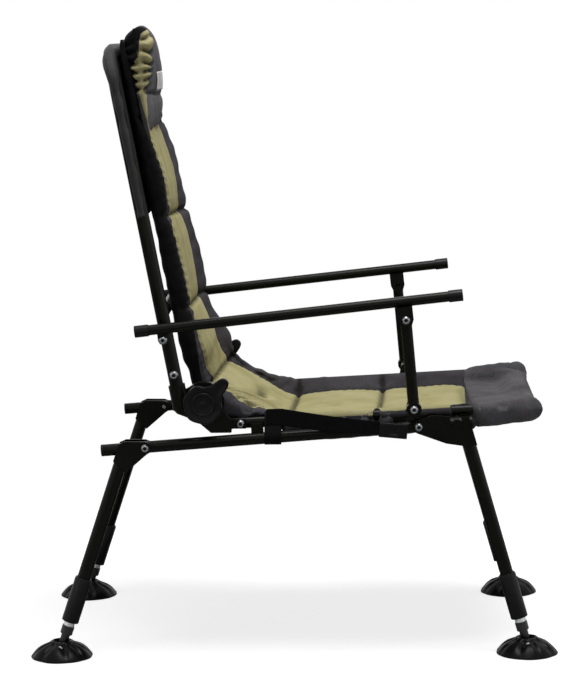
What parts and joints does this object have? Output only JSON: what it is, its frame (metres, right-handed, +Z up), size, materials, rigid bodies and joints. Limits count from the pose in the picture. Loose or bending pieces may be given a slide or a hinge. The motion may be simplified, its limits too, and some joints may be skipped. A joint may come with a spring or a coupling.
{
  "type": "carp fishing chair",
  "caption": "Padded reclining fishing chair with folding arm rests, side clamp knobs and folding telescopic legs on swivelling mud feet.",
  "frame": {"origin": "on the floor, midway between the four feet", "axes": "+X is the way the chair faces, +Y is its left side, +Z is up"},
  "size_m": [0.9856, 0.637, 1.1563],
  "materials": {
    "frame": "satin black powder coat with an olive tint",
    "plastic": "black moulded plastic",
    "zinc": "zinc plated steel",
    "foot": "black moulded plastic, matt",
    "charcoal": "charcoal woven polyester",
    "olive": "olive khaki brushed polyester",
    "webbing": "black polypropylene webbing"
  },
  "bodies": {
    "seat": {"seat_frame": "frame", "seat_mattress": "olive", "mattress_bend": "charcoal", "seat_front_pocket": "charcoal", "rail_right": "frame", "rail_cap_right": "plastic", "recliner_base_right": "plastic", "base_bolt_right": "zinc", "recliner_axle_right": "zinc", "side_strap_right": "webbing", "post_foot_bolt_right": "zinc", "rear_leg_bolt_right": "zinc", "front_leg_bolt_right": "zinc", "rail_left": "frame", "rail_cap_left": "plastic", "recliner_base_left": "plastic", "base_bolt_left": "zinc", "recliner_axle_left": "zinc", "side_strap_left": "webbing", "post_foot_bolt_left": "zinc", "rear_leg_bolt_left": "zinc", "front_leg_bolt_left": "zinc"},
    "back": {"back_frame": "frame", "back_mattress": "olive", "head_pillow": "olive", "back_hood": "charcoal", "recliner_socket_right": "plastic", "socket_bolt_right": "zinc", "recliner_socket_left": "plastic", "socket_bolt_left": "zinc"},
    "arm_right": {"arm_right": "frame", "arm_front_cap_right": "plastic", "arm_rear_cap_right": "plastic", "arm_pivot_bolt_right": "zinc", "post_top_bolt_right": "zinc"},
    "post_right": {"post_right": "frame"},
    "knob_right": {"clamp_knob_right": "plastic"},
    "rear_leg_right": {"rear_leg_tube_right": "frame"},
    "rear_sleeve_right": {"rear_lock_sleeve_right": "plastic"},
    "rear_inner_right": {"rear_inner_leg_right": "zinc"},
    "rear_foot_right": {"rear_foot_right": "foot"},
    "front_leg_right": {"front_leg_tube_right": "frame"},
    "front_sleeve_right": {"front_lock_sleeve_right": "plastic"},
    "front_inner_right": {"front_inner_leg_right": "zinc"},
    "front_foot_right": {"front_foot_right": "foot"},
    "arm_left": {"arm_left": "frame", "arm_front_cap_left": "plastic", "arm_rear_cap_left": "plastic", "arm_pivot_bolt_left": "zinc", "post_top_bolt_left": "zinc"},
    "post_left": {"post_left": "frame"},
    "knob_left": {"clamp_knob_left": "plastic"},
    "rear_leg_left": {"rear_leg_tube_left": "frame"},
    "rear_sleeve_left": {"rear_lock_sleeve_left": "plastic"},
    "rear_inner_left": {"rear_inner_leg_left": "zinc"},
    "rear_foot_left": {"rear_foot_left": "foot"},
    "front_leg_left": {"front_leg_tube_left": "frame"},
    "front_sleeve_left": {"front_lock_sleeve_left": "plastic"},
    "front_inner_left": {"front_inner_leg_left": "zinc"},
    "front_foot_left": {"front_foot_left": "foot"}
  },
  "joints": [
    {"name": "back_recline", "type": "hinge", "parent": "seat", "child": "back", "pos_m": [-0.16, 0, 0.4794], "axis": [0, 1, 0], "range_deg": [-20, 65], "deforming": ["mattress_bend"]},
    {"name": "arm_right", "type": "hinge", "parent": "back", "child": "arm_right", "pos_m": [-0.2299, -0.3, 0.60116], "axis": [0, 1, 0], "range_deg": [-60, 19]},
    {"name": "post_right", "type": "hinge", "parent": "seat", "child": "post_right", "pos_m": [0.225, -0.3, 0.47], "axis": [0, 1, 0], "range_deg": [-18, 57]},
    {"name": "knob_right", "type": "hinge", "parent": "seat", "child": "knob_right", "pos_m": [-0.16, -0.278, 0.4794], "axis": [0, 1, 0], "range_deg": [-180, 0]},
    {"name": "rear_leg_fold_right", "type": "hinge", "parent": "seat", "child": "rear_leg_right", "pos_m": [-0.26993, -0.248, 0.3955], "axis": [0, -1, 0], "range_deg": [0, 105]},
    {"name": "rear_sleeve_twist_right", "type": "hinge", "parent": "rear_leg_right", "child": "rear_sleeve_right", "pos_m": [-0.43432, -0.248, 0.019], "axis": [-0.3206, 0, -0.9472], "range_deg": [-90, 0]},
    {"name": "rear_leg_extend_right", "type": "slide", "parent": "rear_leg_right", "child": "rear_inner_right", "axis": [-0.3206, 0, -0.9472], "range_m": [0, 0.1]},
    {"name": "rear_foot_tilt_right", "type": "hinge", "parent": "rear_inner_right", "child": "rear_foot_right", "pos_m": [-0.43432, -0.248, 0.019], "axis": [0, 1, 0], "range_deg": [-12, 12]},
    {"name": "front_leg_fold_right", "type": "hinge", "parent": "seat", "child": "front_leg_right", "pos_m": [0.23489, -0.248, 0.42992], "axis": [0, -1, 0], "range_deg": [-92, 0]},
    {"name": "front_sleeve_twist_right", "type": "hinge", "parent": "front_leg_right", "child": "front_sleeve_right", "pos_m": [0.43432, -0.248, 0.019], "axis": [0.2714, 0, -0.9625], "range_deg": [-90, 0]},
    {"name": "front_leg_extend_right", "type": "slide", "parent": "front_leg_right", "child": "front_inner_right", "axis": [0.2714, 0, -0.9625], "range_m": [0, 0.1]},
    {"name": "front_foot_tilt_right", "type": "hinge", "parent": "front_inner_right", "child": "front_foot_right", "pos_m": [0.43432, -0.248, 0.019], "axis": [0, 1, 0], "range_deg": [-12, 12]},
    {"name": "arm_left", "type": "hinge", "parent": "back", "child": "arm_left", "pos_m": [-0.2299, 0.3, 0.60116], "axis": [0, 1, 0], "range_deg": [-60, 19]},
    {"name": "post_left", "type": "hinge", "parent": "seat", "child": "post_left", "pos_m": [0.225, 0.3, 0.47], "axis": [0, 1, 0], "range_deg": [-18, 57]},
    {"name": "knob_left", "type": "hinge", "parent": "seat", "child": "knob_left", "pos_m": [-0.16, 0.278, 0.4794], "axis": [0, 1, 0], "range_deg": [-180, 0]},
    {"name": "rear_leg_fold_left", "type": "hinge", "parent": "seat", "child": "rear_leg_left", "pos_m": [-0.26993, 0.248, 0.3955], "axis": [0, -1, 0], "range_deg": [0, 105]},
    {"name": "rear_sleeve_twist_left", "type": "hinge", "parent": "rear_leg_left", "child": "rear_sleeve_left", "pos_m": [-0.43432, 0.248, 0.019], "axis": [-0.3206, 0, -0.9472], "range_deg": [-90, 0]},
    {"name": "rear_leg_extend_left", "type": "slide", "parent": "rear_leg_left", "child": "rear_inner_left", "axis": [-0.3206, 0, -0.9472], "range_m": [0, 0.1]},
    {"name": "rear_foot_tilt_left", "type": "hinge", "parent": "rear_inner_left", "child": "rear_foot_left", "pos_m": [-0.43432, 0.248, 0.019], "axis": [0, 1, 0], "range_deg": [-12, 12]},
    {"name": "front_leg_fold_left", "type": "hinge", "parent": "seat", "child": "front_leg_left", "pos_m": [0.23489, 0.248, 0.42992], "axis": [0, -1, 0], "range_deg": [-92, 0]},
    {"name": "front_sleeve_twist_left", "type": "hinge", "parent": "front_leg_left", "child": "front_sleeve_left", "pos_m": [0.43432, 0.248, 0.019], "axis": [0.2714, 0, -0.9625], "range_deg": [-90, 0]},
    {"name": "front_leg_extend_left", "type": "slide", "parent": "front_leg_left", "child": "front_inner_left", "axis": [0.2714, 0, -0.9625], "range_m": [0, 0.1]},
    {"name": "front_foot_tilt_left", "type": "hinge", "parent": "front_inner_left", "child": "front_foot_left", "pos_m": [0.43432, 0.248, 0.019], "axis": [0, 1, 0], "range_deg": [-12, 12]}
  ],
  "couplings": [
    {"joint": "arm_right", "follows": "back_recline", "ratio": -0.885},
    {"joint": "post_right", "follows": "back_recline", "ratio": 0.865},
    {"joint": "arm_left", "follows": "back_recline", "ratio": -0.885},
    {"joint": "post_left", "follows": "back_recline", "ratio": 0.865}
  ]
}
